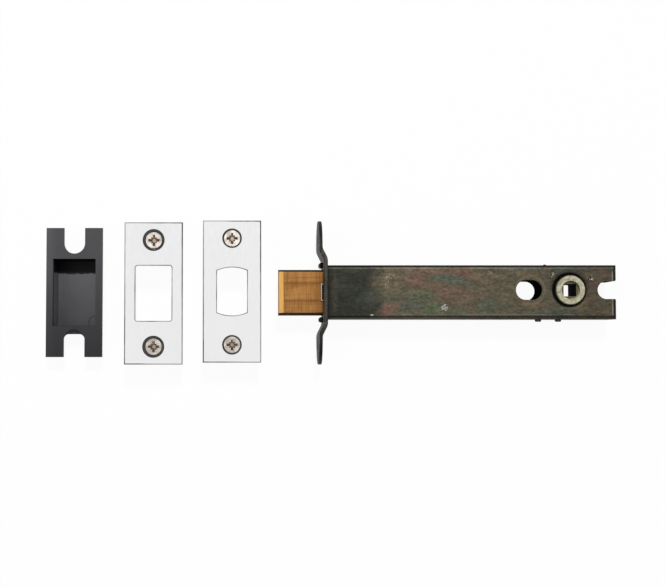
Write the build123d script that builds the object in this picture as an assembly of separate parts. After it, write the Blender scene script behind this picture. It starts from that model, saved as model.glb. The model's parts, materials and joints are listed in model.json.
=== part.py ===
from build123d import *
import math
import os

# A tubular mortice deadbolt with its forend plate, strike plate and dust box,
# laid out flat, as the set comes. Sizes are in millimetres.
# The origin is the centre of the follower. X runs from the bolt's nose to the
# case's rear end, Y along the forend, and Z along the spindle, up from the table.
# Every piece but the follower is drawn about the case's middle line, which lies
# a little below the follower, and is moved down to it at the end.

# Case and inner forend
backset = 106.6               # front of the forend's ears to the follower's centre
rear_reach = 19.7             # follower's centre to the outside of the case's end
case_height = 23.0
case_wall = 1.0
case_bend = 1.6               # outside radius of the case's folds
hub_rise = 0.9                # follower's centre above the case's middle line
forend_length = 61.5
forend_width = 25.0
forend_wall = 1.7
forend_joggle = 2.2           # how far the ears stand ahead of the middle
forend_flat = 0.15            # flat middle beyond the staked tabs
joggle_height = 4.4           # height over which the strip steps forward
forend_bend = 4.0             # radius of the joggle's bends at mid wall
forend_rim = 0.4              # rounding of the outline's edges
fixing_spacing = 45.0         # between the two fixing screws of each plate
ear_hole_radius = 2.5

# Bolt
bolt_height = 19.6
bolt_thick = 12.0
bolt_length = 40.0
bolt_arch = 15.6              # radius of the bolt's rounded top and underside
bolt_throw = 14.5
bolt_gap = 0.1                # sliding clearance on each side
nose_proud = 0.35             # nose ahead of the forend plate when drawn back
nose_length = 2.5             # bevel on the nose, along the bolt
nose_depth = 0.8
groove_y = 3.7
groove_width = 0.6
groove_depth = 0.15

# Follower
collar_radius = 6.2
collar_gap = 0.05
collar_proud = 1.0
collar_chamfer = 0.3
shoulder_radius = 6.9
shoulder_gap = 0.1
barrel_radius = 4.2
spindle_square = 5.0
spindle_gap = 0.15            # round the square on each side
spindle_recess_radius = 3.9
spindle_recess_depth = 1.6
fork_thick = 3.0
fork_base = -1.4              # underside of the fork
fork_prong = 1.6
fork_gap = 0.2                # fork's tip to the case's wall
fork_slot_gap = 0.15
fork_floor_gap = 0.2          # drive pin to the bottom of the slot
detent_radius = 1.3

# Bolt tail and its drive pin
tail_thick = 2.0
tail_top = -1.6               # upper face of the tail
tail_gap = 0.2                # tail's underside to the follower's shoulder
tail_tongue = 16.0            # length held in the bolt's slot
tail_tongue_height = 9.0
tail_strip_height = 4.1
tail_shoulder = 1.0           # tail's full height behind the bolt
tail_slope = 3.0
tail_margin = 6.0             # tail's sloping edge to the through slot
drive_pin_y = 5.95
drive_pin_radius = 1.0
drive_pin_wall = 0.6
drive_pin_gap = 0.3           # below the follower's shoulder
rivet_radius = 1.5
rivet_inset = 4.5             # from each end of the tongue

# Openings through the case
through_length = 11.0
through_height = 8.3
through_ahead = 17.4          # follower's centre forward to the slot's centre
through_rim = 0.3             # rounding of the slot's edge
notch_radius = 3.8
notch_behind = 15.4           # follower's centre back to the notch's centre
notch_mouth = 0.9             # rounding of the notch's mouth
hub_rim = 0.85                # rounding where the sheet turns in at the follower

# Detent spring and its rivets
spring_wall = 0.4
spring_width = 4.0
spring_bend = 0.6
spring_gap = 0.2              # leaf to the follower's shoulder
spring_side_gap = 0.3         # leaf's edge to the fork's level
spring_tail = 3.0             # leaf ahead of the front rivet
spring_heel = 2.0             # flat behind the rear rivet
spring_tip = (5.0, 1.2)       # how far the free end runs on, and drops
spring_rivet_x = (-13.0, -4.5)
spring_rivet_radius = 0.9
spring_head_radius = 1.35
spring_head_height = 1.0
spring_head_chamfer = 0.35
spring_inner_head = 0.6

# Tabs, pillar and dimples of the case
tab_width = 7.2
tab_proud = 1.0
stake_proud = 1.7
stake_spread = 1.2
cover_tab = 4.0
cover_tab_x = (-82.0, -34.0)
pillar_x = -53.2
pillar_y = -6.5
pillar_radius = 1.2
pillar_head_radius = 1.5
pillar_head = 0.25
dimple_places = ((-7.5, 7.7), (8.9, 5.8))
dimple_radius = 1.25
dimple_depth = 0.3

# Forend plate and strike plate
plate_length = 60.0
plate_width = 24.6
plate_thick = 2.0
plate_edge = 0.2
forend_place = (-143.0, 0.25)     # centre of the forend plate as laid out
forend_sink_radius = 4.15
opening_gap = 0.35                # forend plate's opening round the bolt
strike_place = (-176.1, -0.55)
strike_opening = (15.3, 23.3)
strike_corner = 0.9
strike_sink_radius = 4.65
screw_hole_radius = 2.2

# Screws
screw_length = 20.0
screw_head_radius = 3.4
screw_radius = 1.75
screw_point = 4.5
cross_span = 4.8
cross_wing = 1.15
rib_span = 3.4                # small ribs between the cross's wings
rib_width = 0.55
cross_depth = 1.9
cross_tip_radius = 0.8

# Dust box
dust_place = (-210.9, 0.15)
dust_length = 55.4
dust_width = 24.0
dust_plate = 2.0
dust_wall = 1.2
dust_pocket = (18.3, 28.9)
dust_depth = 12.0
dust_draft = 1.5              # degrees
dust_notch_width = 9.1
dust_upper_notch = 11.0
dust_lower_notch = 9.8
dust_lower_corner = 2.2
dust_relief_y = 19.5          # hollow for the countersink's underside
dust_relief_radius = 3.8
dust_relief_depth = 1.3
dust_pad_radius = 3.0
dust_pad_inset = 1.6          # pad's centre to the pocket's walls
dust_pad_height = 0.4

past = 1.0                    # a cutting body runs this far past what it cuts

# Places that follow from the sizes above, with Y from the case's middle line
table_z = -forend_width / 2
inner_half_height = case_height / 2 - case_wall
inner_half_thick = bolt_thick / 2 + bolt_gap
case_half_thick = inner_half_thick + case_wall
case_half_height = case_height / 2
ear_x = -backset
middle_x = ear_x + forend_joggle
mouth_x = middle_x + forend_wall
end_x = rear_reach
nose_x = ear_x - plate_thick - bolt_throw - nose_proud
bolt_end_x = nose_x + bolt_length
tongue_x = bolt_end_x - tail_tongue
tail_base = tail_top - tail_thick
shoulder_base = tail_base - tail_gap
fork_top = fork_base + fork_thick
drive_pin_x = -bolt_throw / 2
fork_reach = inner_half_height - fork_gap - hub_rise
fork_angle = math.degrees(math.atan2(bolt_throw / 2, drive_pin_y))
shoulder_top = inner_half_thick - shoulder_gap
hub_radius = collar_radius + collar_gap
bend_reach = forend_bend * math.tan(math.atan2(forend_joggle, joggle_height) / 2)
joggle_start = case_half_height + stake_spread + forend_flat + bend_reach
joggle_end = joggle_start + joggle_height


def block(x_span, y_span, z_span):
    # A box between two places on each axis.
    spans = (x_span, y_span, z_span)
    size = [high - low for low, high in spans]
    middle = [(low + high) / 2 for low, high in spans]
    return Pos(*middle) * Box(*size)


def disc(radius, z_span, x=0.0, y=0.0):
    # An upright cylinder between two heights.
    low, high = z_span
    return Pos(x, y, (low + high) / 2) * Cylinder(radius, high - low)


def cross_rod(radius, x_span, y, z):
    # A cylinder along X.
    low, high = x_span
    rod = Rot(0, 90, 0) * Cylinder(radius, high - low)
    return Pos((low + high) / 2, y, z) * rod


def upright_rod(radius, y_span, x, z):
    # A cylinder along Y.
    low, high = y_span
    rod = Rot(90, 0, 0) * Cylinder(radius, high - low)
    return Pos(x, (low + high) / 2, z) * rod


def arched_bar(x_span, height, thick):
    # A bar along X whose two narrow sides are rounded.
    low, high = x_span
    centre = height / 2 - bolt_arch
    section = Rectangle(height, thick)
    section &= Pos(centre, 0) * Circle(bolt_arch)
    section &= Pos(-centre, 0) * Circle(bolt_arch)
    return Pos(low, 0, 0) * extrude(Plane.YZ * section, high - low)


def end_notch():
    # The notch in the case's end, with its mouth rounded.
    outline = Pos(notch_behind, 0) * Circle(notch_radius)
    outline += Pos((notch_behind + end_x + past) / 2, 0) * Rectangle(end_x + past - notch_behind,
                                                                     2 * notch_radius)
    mouth_x_span = notch_mouth + past
    wide = notch_radius + notch_mouth
    mouth = Pos(end_x - notch_mouth + mouth_x_span / 2, 0) * Rectangle(mouth_x_span, 2 * wide)
    for side in (-1, 1):
        mouth -= Pos(end_x - notch_mouth, side * wide) * Circle(notch_mouth)
    return outline + mouth


def case_cuts():
    # What goes through both sides of the case, at the follower's height.
    outline = Pos(-through_ahead, 0) * SlotOverall(through_length, through_height)
    outline += Circle(hub_radius)
    outline += end_notch()
    return Pos(0, hub_rise, 0) * extrude(outline, case_height, both=True)


def round_rims(part, face_z):
    # Rounds the outer edges of the follower's hole and the through slot.
    rims = part.edges().filter_by(lambda edge: abs(edge.center().Z - face_z) < case_wall / 10)
    hub = [edge for edge in rims.filter_by(GeomType.CIRCLE) if abs(edge.radius - hub_radius) < collar_gap]
    part = fillet(hub, hub_rim)
    slot_x = (-through_ahead - through_length / 2, -through_ahead + through_length / 2)
    rims = part.edges().filter_by(lambda edge: abs(edge.center().Z - face_z) < case_wall / 10)
    slot = [edge for edge in rims if slot_x[0] <= edge.center().X <= slot_x[1]
            and abs(edge.center().Y - hub_rise) <= through_height / 2 + case_wall / 10]
    return fillet(slot, through_rim)


def forend_tab(side):
    # The tab of one broad side, which goes through the inner forend.
    z_span = sorted((side * inner_half_thick, side * case_half_thick))
    half = tab_width / 2
    return block((middle_x - tab_proud, mouth_x), (-half, half), z_span)


def staked_tab(side):
    # The tab of one narrow side, spread over the inner forend's face.
    half = tab_width / 2
    y_span = sorted((side * inner_half_height, side * case_half_height))
    tab = block((middle_x, mouth_x), y_span, (-half, half))
    y_span = sorted((side * inner_half_height, side * (case_half_height + stake_spread)))
    head = block((middle_x - stake_proud, middle_x), y_span, (-half, half))
    head = chamfer(head.edges().filter_by(Axis.Z).group_by(Axis.X)[0], stake_spread / 2)
    return tab + head


def case_shell():
    outer = block((mouth_x, end_x), (-case_half_height, case_half_height),
                  (-inner_half_thick, case_half_thick))
    folds = outer.edges().group_by(Axis.Z)[-1]
    folds = folds.filter_by(Axis.X) + folds.group_by(Axis.X)[-1]
    outer = fillet(folds, case_bend)
    shell = outer - block((mouth_x - past, end_x - case_wall), (-inner_half_height, inner_half_height),
                          (-inner_half_thick - past, inner_half_thick))
    for side in (-1, 1):
        shell += staked_tab(side)
        y_span = sorted((side * inner_half_height, side * case_half_height))
        for x in cover_tab_x:
            shell += block((x - cover_tab / 2, x + cover_tab / 2), y_span,
                           (-case_half_thick, -inner_half_thick))
    for x in spring_rivet_x:
        shell -= upright_rod(spring_rivet_radius, (-case_height, 0), x, spring_middle())
    shell += forend_tab(1)
    shell = round_rims(shell - case_cuts(), case_half_thick)
    shell -= disc(pillar_radius, (0, case_height), pillar_x, pillar_y)
    for x, y in dimple_places:
        shell -= dimple(x, y)
    return shell


def dimple(x, y):
    # A shallow round dent in the upper side.
    sphere_radius = (dimple_radius ** 2 + dimple_depth ** 2) / (2 * dimple_depth)
    return Pos(x, y, case_half_thick - dimple_depth + sphere_radius) * Sphere(sphere_radius)


def case_cover():
    cover = block((mouth_x, end_x), (-case_half_height, case_half_height),
                  (-case_half_thick, -inner_half_thick))
    for side in (-1, 1):
        y_span = sorted((side * inner_half_height, side * case_height))
        for x in cover_tab_x:
            cover -= block((x - cover_tab / 2, x + cover_tab / 2), y_span,
                           (-case_height, 0))
    cover += forend_tab(-1)
    cover = round_rims(cover - case_cuts(), -case_half_thick)
    cover -= disc(pillar_radius, (-case_height, 0), pillar_x, pillar_y)
    return cover


def case_pillar():
    half = case_half_thick
    pillar = disc(pillar_radius, (-half, half), pillar_x, pillar_y)
    pillar += disc(pillar_head_radius, (half, half + pillar_head), pillar_x, pillar_y)
    pillar += disc(pillar_head_radius, (-half - pillar_head, -half), pillar_x, pillar_y)
    return pillar


def forend_profile():
    # The joggled strip's section, seen along Z.
    front = ear_x + forend_wall / 2
    back = middle_x + forend_wall / 2
    route = [(front, forend_length / 2), (front, joggle_end), (back, joggle_start)]
    route += [(x, -y) for x, y in reversed(route)]
    return trace(FilletPolyline(*route, radius=forend_bend), line_width=forend_wall)


def inner_forend():
    plate = Pos(0, 0, table_z) * extrude(forend_profile(), forend_width)
    through = (ear_x - past, mouth_x + past)
    outline = Plane.YZ * SlotOverall(forend_length, forend_width)
    plate &= Pos(through[0], 0, 0) * extrude(outline, through[1] - through[0])
    plate = fillet(plate.edges(), forend_rim)
    plate -= arched_bar(through, bolt_height + 2 * bolt_gap, bolt_thick + 2 * bolt_gap)
    for side in (-1, 1):
        plate -= cross_rod(ear_hole_radius, through, side * fixing_spacing / 2, 0)
        tab_half = tab_width / 2
        y_span = sorted((side * inner_half_height, side * case_half_height))
        plate -= block(through, y_span, (-tab_half, tab_half))
        z_span = sorted((side * inner_half_thick, side * case_half_thick))
        plate -= block(through, (-tab_half, tab_half), z_span)
    return plate


def bolt_head():
    bolt = arched_bar((nose_x, bolt_end_x), bolt_height, bolt_thick)
    half = bolt_thick / 2
    side = [(nose_x, half - nose_depth), (nose_x + nose_length, half), (bolt_end_x, half)]
    side += [(x, -z) for x, z in reversed(side)]
    wedge = extrude(Plane.XZ * make_face(Polyline(*side, close=True)), bolt_height, both=True)
    bolt &= wedge
    for face in (-1, 1):
        z_span = sorted((face * (half - groove_depth), face * (half + past)))
        for y in (-groove_y, groove_y):
            y_span = (y - groove_width / 2, y + groove_width / 2)
            bolt -= block((nose_x + nose_length, bolt_end_x + past), y_span, z_span)
    bolt -= block((tongue_x, bolt_end_x + past), (-bolt_height, bolt_height), (tail_base, tail_top))
    for x in tongue_rivets():
        bolt -= disc(rivet_radius, (-bolt_thick, bolt_thick), x)
    return bolt


def tongue_rivets():
    return (tongue_x + rivet_inset, bolt_end_x - rivet_inset)


def tail_rivet(x):
    half = bolt_thick / 2 - groove_depth
    return disc(rivet_radius, (-half, half), x)


def bolt_tail():
    # A flat strip that runs over the through slot, with a tongue in the bolt.
    upper = inner_half_height - fork_gap
    lower = upper - tail_strip_height
    wide_end = -through_ahead - through_length / 2 - bolt_throw - tail_margin
    eye = drive_pin_radius + drive_pin_wall
    tongue = tail_tongue_height / 2
    shoulder = bolt_end_x + tail_shoulder
    outline = [(tongue_x, -tongue), (wide_end - tongue - lower, -tongue), (wide_end, lower),
               (drive_pin_x + eye, lower), (drive_pin_x + eye, upper), (shoulder + tail_slope, upper),
               (shoulder, tongue), (tongue_x, tongue)]
    tail = extrude(make_face(Polyline(*outline, close=True)), tail_thick)
    tail = Pos(0, 0, tail_base) * tail
    z_cut = (tail_base - past, tail_top + past)
    tail += disc(eye, (tail_base, tail_top), drive_pin_x, hub_rise + drive_pin_y)
    tail -= disc(drive_pin_radius, z_cut, drive_pin_x, hub_rise + drive_pin_y)
    for x in tongue_rivets():
        tail -= disc(rivet_radius, z_cut, x)
    return tail


def drive_pin():
    return disc(drive_pin_radius, (tail_base, fork_top - drive_pin_gap), drive_pin_x, hub_rise + drive_pin_y)


def fork_slot_width():
    # The pin runs straight while the fork turns, so the slot takes up the difference.
    steps = 60
    spare = 0.0
    for step in range(steps + 1):
        angle = math.radians(fork_angle) * step / steps
        even = bolt_throw / 2 * step / steps
        spare = max(spare, (even - drive_pin_y * math.tan(angle)) * math.cos(angle))
    return 2 * (drive_pin_radius + spare + fork_slot_gap)


def fork():
    slot = fork_slot_width()
    half = slot / 2 + fork_prong
    arm = block((-half, half), (0, fork_reach), (fork_base, fork_top))
    arm &= disc(fork_reach, (fork_base, fork_top))
    floor = drive_pin_y - drive_pin_radius - fork_floor_gap
    arm += disc(floor, (fork_base, fork_top))
    arm -= block((-slot / 2, slot / 2), (floor, fork_reach + past), (fork_base - past, fork_top + past))
    return Rot(0, 0, fork_angle) * arm


def follower():
    # Built about its own axis, which is the origin.
    outside = case_half_thick + collar_proud
    body = disc(collar_radius, (shoulder_top, outside))
    body += disc(shoulder_radius, (fork_top, shoulder_top))
    body += disc(barrel_radius, (shoulder_base, fork_base))
    body += disc(shoulder_radius, (-shoulder_top, shoulder_base))
    body += disc(collar_radius, (-outside, -shoulder_top))
    rims = body.edges().group_by(Axis.Z)
    body = chamfer(rims[0] + rims[-1], collar_chamfer)
    body += fork()
    socket = spindle_square + 2 * spindle_gap
    body -= Box(socket, socket, 2 * (outside + past))
    body -= disc(spindle_recess_radius, (outside - spindle_recess_depth, outside + past))
    body -= disc(spindle_recess_radius, (-outside - past, -outside + spindle_recess_depth))
    for angle in (0.0, 2 * fork_angle):
        body -= Rot(0, 0, angle) * disc(detent_radius, (fork_top, shoulder_top),
                                        0, -shoulder_radius - detent_radius / 2)
    return body


def detent_spring():
    # A leaf on the narrow side's inside, with its free end up at the follower.
    floor = -inner_half_height + spring_wall / 2
    crest = hub_rise - shoulder_radius - spring_gap - spring_wall / 2
    run, drop = spring_tip
    route = [(spring_rivet_x[0] - spring_tail, floor), (spring_rivet_x[1] + spring_heel, floor),
             (0, crest), (run, crest - drop)]
    leaf = trace(FilletPolyline(*route, radius=spring_bend), line_width=spring_wall)
    leaf = extrude(leaf, spring_width)
    leaf = Pos(0, 0, fork_top + spring_side_gap) * leaf
    for x in spring_rivet_x:
        leaf -= upright_rod(spring_rivet_radius, (-case_height, 0), x, spring_middle())
    return leaf


def spring_middle():
    return fork_top + spring_side_gap + spring_width / 2


def spring_rivet(x):
    inside = -inner_half_height + spring_wall
    z = spring_middle()
    rivet = upright_rod(spring_rivet_radius, (-case_half_height, inside), x, z)
    rivet += upright_rod(spring_head_radius, (-case_half_height - spring_head_height,
                                              -case_half_height), x, z)
    rivet += upright_rod(spring_head_radius, (inside, inside + spring_inner_head), x, z)
    outer_rim = rivet.edges().group_by(Axis.Y)[0]
    return chamfer(outer_rim, spring_head_chamfer)


def screw_rows():
    return {"upper": fixing_spacing / 2, "lower": -fixing_spacing / 2}


def plate_top(sink_radius):
    # The screws' points stand on the table, and the plate hangs at their heads.
    return table_z + screw_length + sink_radius - screw_head_radius


def fixing_plate(place, sink_radius, opening):
    top = plate_top(sink_radius)
    base = top - plate_thick
    half_width = plate_width / 2
    half_length = plate_length / 2
    plate = block((-half_width, half_width), (-half_length, half_length), (base, top))
    plate = chamfer(plate.edges().group_by(Axis.Z)[-1], plate_edge)
    plate -= Pos(0, 0, base - past) * extrude(opening, plate_thick + 2 * past)
    for y in screw_rows().values():
        plate -= disc(screw_hole_radius, (base - past, top + past), 0, y)
        plate -= countersink(y, top, sink_radius)
    return Pos(*place, 0) * plate


def countersink(y, top, radius):
    # A square-angled cone whose rim lies in the plate's face.
    depth = radius - screw_hole_radius
    return Pos(0, y, top - depth / 2) * Cone(screw_hole_radius, radius, depth)


def forend_plate():
    height = bolt_height + 2 * opening_gap
    centre = height / 2 - bolt_arch
    opening = Rectangle(bolt_thick + 2 * opening_gap, height)
    opening &= Pos(0, centre) * Circle(bolt_arch)
    opening &= Pos(0, -centre) * Circle(bolt_arch)
    return fixing_plate(forend_place, forend_sink_radius, opening)


def strike_plate():
    opening = RectangleRounded(*strike_opening, strike_corner)
    return fixing_plate(strike_place, strike_sink_radius, opening)


def screw(place, y):
    # A countersunk wood screw, point down, with a cross recess.
    top = table_z + screw_length
    neck = top - (screw_head_radius - screw_radius)
    outline = [(0, table_z), (screw_radius, table_z + screw_point), (screw_radius, neck),
               (screw_head_radius, top), (0, top)]
    body = revolve(Plane.XZ * make_face(Polyline(*outline, close=True)), Axis.Z)
    wings = Rectangle(cross_span, cross_wing) + Rectangle(cross_wing, cross_span)
    for turn in (45, 135):
        wings += Rot(0, 0, turn) * Rectangle(rib_span, rib_width)
    recess = Pos(0, 0, top - cross_depth) * extrude(wings, cross_depth + past)
    recess &= Pos(0, 0, top - cross_depth / 2) * Cone(cross_tip_radius, cross_span / 2, cross_depth)
    return Pos(place[0], place[1] + y, 0) * (body - recess)


def dust_notches():
    # Open slots at both ends of the dust box's plate, for the fixing screws.
    end = dust_length / 2
    upper = SlotOverall(2 * dust_upper_notch, dust_notch_width, rotation=90)
    lower = RectangleRounded(dust_notch_width, 2 * dust_lower_notch, dust_lower_corner)
    return Pos(0, end) * upper + Pos(0, -end) * lower


def dust_pads(pocket):
    # Low round pads in the two right-hand corners of the pocket's floor.
    width, length = dust_pocket
    floor = table_z + dust_wall
    x = width / 2 - dust_pad_inset
    y = length / 2 - dust_pad_inset
    pads = disc(dust_pad_radius, (floor, floor + dust_pad_height), x, y)
    pads += disc(dust_pad_radius, (floor, floor + dust_pad_height), x, -y)
    return pads & pocket


def dust_box():
    top = table_z + dust_wall + dust_depth
    width, length = dust_pocket
    plate = Rectangle(dust_width, dust_length) - dust_notches()
    body = Pos(0, 0, top - dust_plate) * extrude(plate, dust_plate)
    body -= Pos(0, -dust_relief_y, top - dust_relief_depth / 2) * Cone(
        dust_relief_radius - dust_relief_depth, dust_relief_radius, dust_relief_depth)
    shell = Rectangle(width + 2 * dust_wall, length + 2 * dust_wall)
    body += Pos(0, 0, top) * extrude(shell, -(dust_depth + dust_wall), taper=dust_draft)
    pocket = Pos(0, 0, top) * extrude(Rectangle(width, length), -dust_depth, taper=dust_draft)
    body -= pocket
    body += dust_pads(pocket)
    return Pos(*dust_place, 0) * body


def all_parts():
    parts = {
        "case_shell": case_shell(),
        "case_cover": case_cover(),
        "case_pillar": case_pillar(),
        "inner_forend": inner_forend(),
        "bolt_head": bolt_head(),
        "bolt_tail": bolt_tail(),
        "drive_pin": drive_pin(),
        "detent_spring": detent_spring(),
        "forend_plate": forend_plate(),
        "strike_plate": strike_plate(),
        "dust_box": dust_box(),
    }
    for name, x in zip(("front", "rear"), tongue_rivets()):
        parts[f"tail_rivet_{name}"] = tail_rivet(x)
    for name, x in zip(("front", "rear"), spring_rivet_x):
        parts[f"spring_rivet_{name}"] = spring_rivet(x)
    for name, y in screw_rows().items():
        parts[f"forend_screw_{name}"] = screw(forend_place, y)
        parts[f"strike_screw_{name}"] = screw(strike_place, y)
    parts = {name: Pos(0, -hub_rise, 0) * part for name, part in parts.items()}
    parts["follower"] = follower()
    return parts


os.makedirs("parts", exist_ok=True)
for node, shape in all_parts().items():
    export_step(shape, f"parts/{node}.step")
print("follower turn in degrees", round(2 * fork_angle, 3))
print("bolt travel in mm", bolt_throw)
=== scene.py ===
import json
import math

import bmesh
import bpy
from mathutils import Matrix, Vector


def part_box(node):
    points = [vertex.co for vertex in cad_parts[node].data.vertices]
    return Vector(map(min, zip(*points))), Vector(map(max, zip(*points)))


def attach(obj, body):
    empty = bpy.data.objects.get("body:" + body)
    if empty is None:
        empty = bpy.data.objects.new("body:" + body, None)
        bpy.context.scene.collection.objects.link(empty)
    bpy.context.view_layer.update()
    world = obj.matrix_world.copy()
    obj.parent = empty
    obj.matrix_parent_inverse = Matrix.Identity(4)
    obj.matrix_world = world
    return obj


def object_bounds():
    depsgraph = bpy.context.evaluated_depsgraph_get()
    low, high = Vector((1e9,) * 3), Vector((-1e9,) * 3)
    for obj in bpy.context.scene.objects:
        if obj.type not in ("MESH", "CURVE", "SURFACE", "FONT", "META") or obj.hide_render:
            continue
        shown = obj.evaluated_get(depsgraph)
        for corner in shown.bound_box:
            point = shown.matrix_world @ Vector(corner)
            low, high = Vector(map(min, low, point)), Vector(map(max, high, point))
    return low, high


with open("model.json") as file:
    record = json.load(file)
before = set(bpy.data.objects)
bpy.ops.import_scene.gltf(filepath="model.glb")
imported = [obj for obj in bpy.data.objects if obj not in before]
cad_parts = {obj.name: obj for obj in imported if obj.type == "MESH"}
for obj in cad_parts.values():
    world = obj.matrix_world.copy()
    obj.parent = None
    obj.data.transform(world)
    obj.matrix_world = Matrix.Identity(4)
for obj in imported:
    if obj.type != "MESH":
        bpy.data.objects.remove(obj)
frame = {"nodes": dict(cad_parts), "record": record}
nodes = frame["nodes"]
cadLow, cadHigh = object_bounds()
print("frame loaded:", len(nodes), "nodes")

mm = 0.001
caseLow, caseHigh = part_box("case_cover")
caseMiddle = (caseLow.y + caseHigh.y) / 2      # the follower stands a little above this line
screwNodes = sorted(name for name in nodes if "screw" in name)
even = (1, 1, 1)                               # a pattern that isn't stretched
endless = 1e4                                  # a reach so long that this axis has no say

# Small helpers for material trees


def newMaterial(name):
    material = bpy.data.materials.new(name)
    material.use_nodes = True
    tree = material.node_tree
    return material, tree, tree.nodes["Principled BSDF"]


def addNode(tree, kind, inputs=None, **settings):
    node = tree.nodes.new(kind)
    for key, value in settings.items():
        setattr(node, key, value)
    for key, value in (inputs or {}).items():
        node.inputs[key].default_value = value
    return node


def feed(tree, value, socket):
    # Takes a number, a colour or another node's output
    if isinstance(value, (int, float)):
        socket.default_value = value
    elif isinstance(value, tuple):
        socket.default_value = (*value, 1) if len(socket.default_value) == 4 else value
    else:
        tree.links.new(value, socket)


def dress(tree, shader, base, roughness, metallic, specular=None):
    feed(tree, base, shader.inputs["Base Color"])
    feed(tree, roughness, shader.inputs["Roughness"])
    shader.inputs["Metallic"].default_value = metallic
    if specular is not None:
        shader.inputs["Specular IOR Level"].default_value = specular


def own(tree, scale=even):
    # The piece's own place in metres, stretched along each axis
    coords = addNode(tree, "ShaderNodeTexCoord")
    mapping = addNode(tree, "ShaderNodeMapping", {"Scale": scale})
    tree.links.new(coords.outputs["Object"], mapping.inputs["Vector"])
    return mapping.outputs["Vector"]


def around(tree, centre, reach, turn=0.0):
    # The same, measured from a centre in units of reach
    coords = addNode(tree, "ShaderNodeTexCoord")
    placed = {"Location": centre, "Rotation": (0, 0, turn), "Scale": reach}
    mapping = addNode(tree, "ShaderNodeMapping", placed, vector_type="TEXTURE")
    tree.links.new(coords.outputs["Object"], mapping.inputs["Vector"])
    return mapping.outputs["Vector"]


def axes(tree, vector):
    split = addNode(tree, "ShaderNodeSeparateXYZ")
    tree.links.new(vector, split.inputs[0])
    return split.outputs


def facing(tree):
    # The way each face looks, along each axis
    geometry = addNode(tree, "ShaderNodeNewGeometry")
    return axes(tree, geometry.outputs["True Normal"])


def noise(tree, vector, scale, detail=4.0, roughness=0.55, distortion=0.0):
    node = addNode(tree, "ShaderNodeTexNoise",
                   {"Scale": scale, "Detail": detail, "Roughness": roughness, "Distortion": distortion})
    tree.links.new(vector, node.inputs["Vector"])
    return node.outputs["Fac"]


def pattern(tree, stretch, *settings):
    # Noise over the piece's own place. The settings are those of noise, from its scale on
    return noise(tree, own(tree, stretch), *settings)


def ramp(tree, factor, stops):
    node = addNode(tree, "ShaderNodeValToRGB")
    elements = node.color_ramp.elements
    while len(elements) < len(stops):
        elements.new(0.5)
    for element, (place, colour) in zip(elements, stops):
        element.position = place
        element.color = (*colour, 1)
    tree.links.new(factor, node.inputs["Fac"])
    return node.outputs["Color"]


def shades(tree, factor, low, high, start=0.35, end=0.65):
    # Two colours that meet over the middle of a pattern
    return ramp(tree, factor, [(start, low), (end, high)])


def grey(value):
    return (value, value, value)


def inMm(values):
    return tuple(value * mm for value in values)


def maths(tree, operation, first, second=0.0):
    node = addNode(tree, "ShaderNodeMath", operation=operation)
    feed(tree, first, node.inputs[0])
    feed(tree, second, node.inputs[1])
    return node.outputs[0]


def times(tree, *factors):
    product = factors[0]
    for factor in factors[1:]:
        product = maths(tree, "MULTIPLY", product, factor)
    return product


def larger(tree, *values):
    largest = values[0]
    for value in values[1:]:
        largest = maths(tree, "MAXIMUM", largest, value)
    return largest


def absolute(tree, value):
    return maths(tree, "ABSOLUTE", value)


def apart(tree, first, second):
    return absolute(tree, maths(tree, "SUBTRACT", first, second))


def inverse(tree, mask):
    return maths(tree, "SUBTRACT", 1.0, mask)


def mixed(tree, factor, first, second, blend="MIX"):
    node = addNode(tree, "ShaderNodeMix", data_type="RGBA", blend_type=blend)
    feed(tree, factor, node.inputs[0])
    feed(tree, first, node.inputs[6])
    feed(tree, second, node.inputs[7])
    return node.outputs[2]


def tinted(tree, base, tint):
    return mixed(tree, 1.0, base, tint, "MULTIPLY")


def fade(tree, value, start, end, low=0.0, high=1.0):
    # Runs smoothly from low at start to high at end
    limits = {"From Min": start, "From Max": end, "To Min": low, "To Max": high}
    node = addNode(tree, "ShaderNodeMapRange", limits, interpolation_type="SMOOTHSTEP")
    tree.links.new(value, node.inputs["Value"])
    return node.outputs["Result"]


def below(tree, value, limit, soft=0.1 * mm):
    # 1 up to a limit, 0 beyond its soft border
    return fade(tree, value, limit + soft, limit)


def past(tree, value, limit, soft=0.1 * mm):
    # 1 from a limit on, 0 before its soft border
    return fade(tree, value, limit - soft, limit)


def between(tree, value, low, high, soft):
    # 1 between two places on an axis, with a soft border outside them
    return times(tree, past(tree, value, low, soft), below(tree, value, high, soft))


def uneven(tree, settings, levels):
    # The middle part of a pattern, spread between two levels
    return fade(tree, pattern(tree, *settings), *levels)


def gloss(tree, factor, smooth, rough):
    # Roughness that follows a pattern
    return fade(tree, factor, 0.3, 0.7, smooth, rough)


def waver(tree, reach, stretch, *settings):
    # Wanders by up to half of reach to either side of nothing
    return times(tree, maths(tree, "SUBTRACT", pattern(tree, stretch, *settings), 0.5), reach)


def length(tree, vector):
    node = addNode(tree, "ShaderNodeVectorMath", operation="LENGTH")
    tree.links.new(vector, node.inputs[0])
    return node.outputs["Value"]


def fromSpindle(tree, x=0.0, y=0.0):
    # Distance from an upright line, the follower's own unless another is given
    return length(tree, around(tree, (x, y, 0), (1, 1, endless)))


def softPatch(tree, place, reach, turn=0.0, ragged=0.5, border=0.35, grain=170.0):
    # 1 in the middle of a ragged patch on the XY plane, 0 outside it
    spread = length(tree, around(tree, (*place, 0), (*reach, endless), turn))
    spread = maths(tree, "ADD", spread, waver(tree, 2 * ragged, (0.6, 1, 1), grain, 3.0, 0.6))
    return fade(tree, spread, 1.0 + border, 1.0 - border)


def speckled(tree, base, low, high, scale, stretch=even):
    # A fine grain that darkens and lightens a colour
    grain = pattern(tree, stretch, scale, 4.0, 0.65)
    return tinted(tree, base, shades(tree, grain, grey(low), grey(high), 0.33, 0.67))


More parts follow.
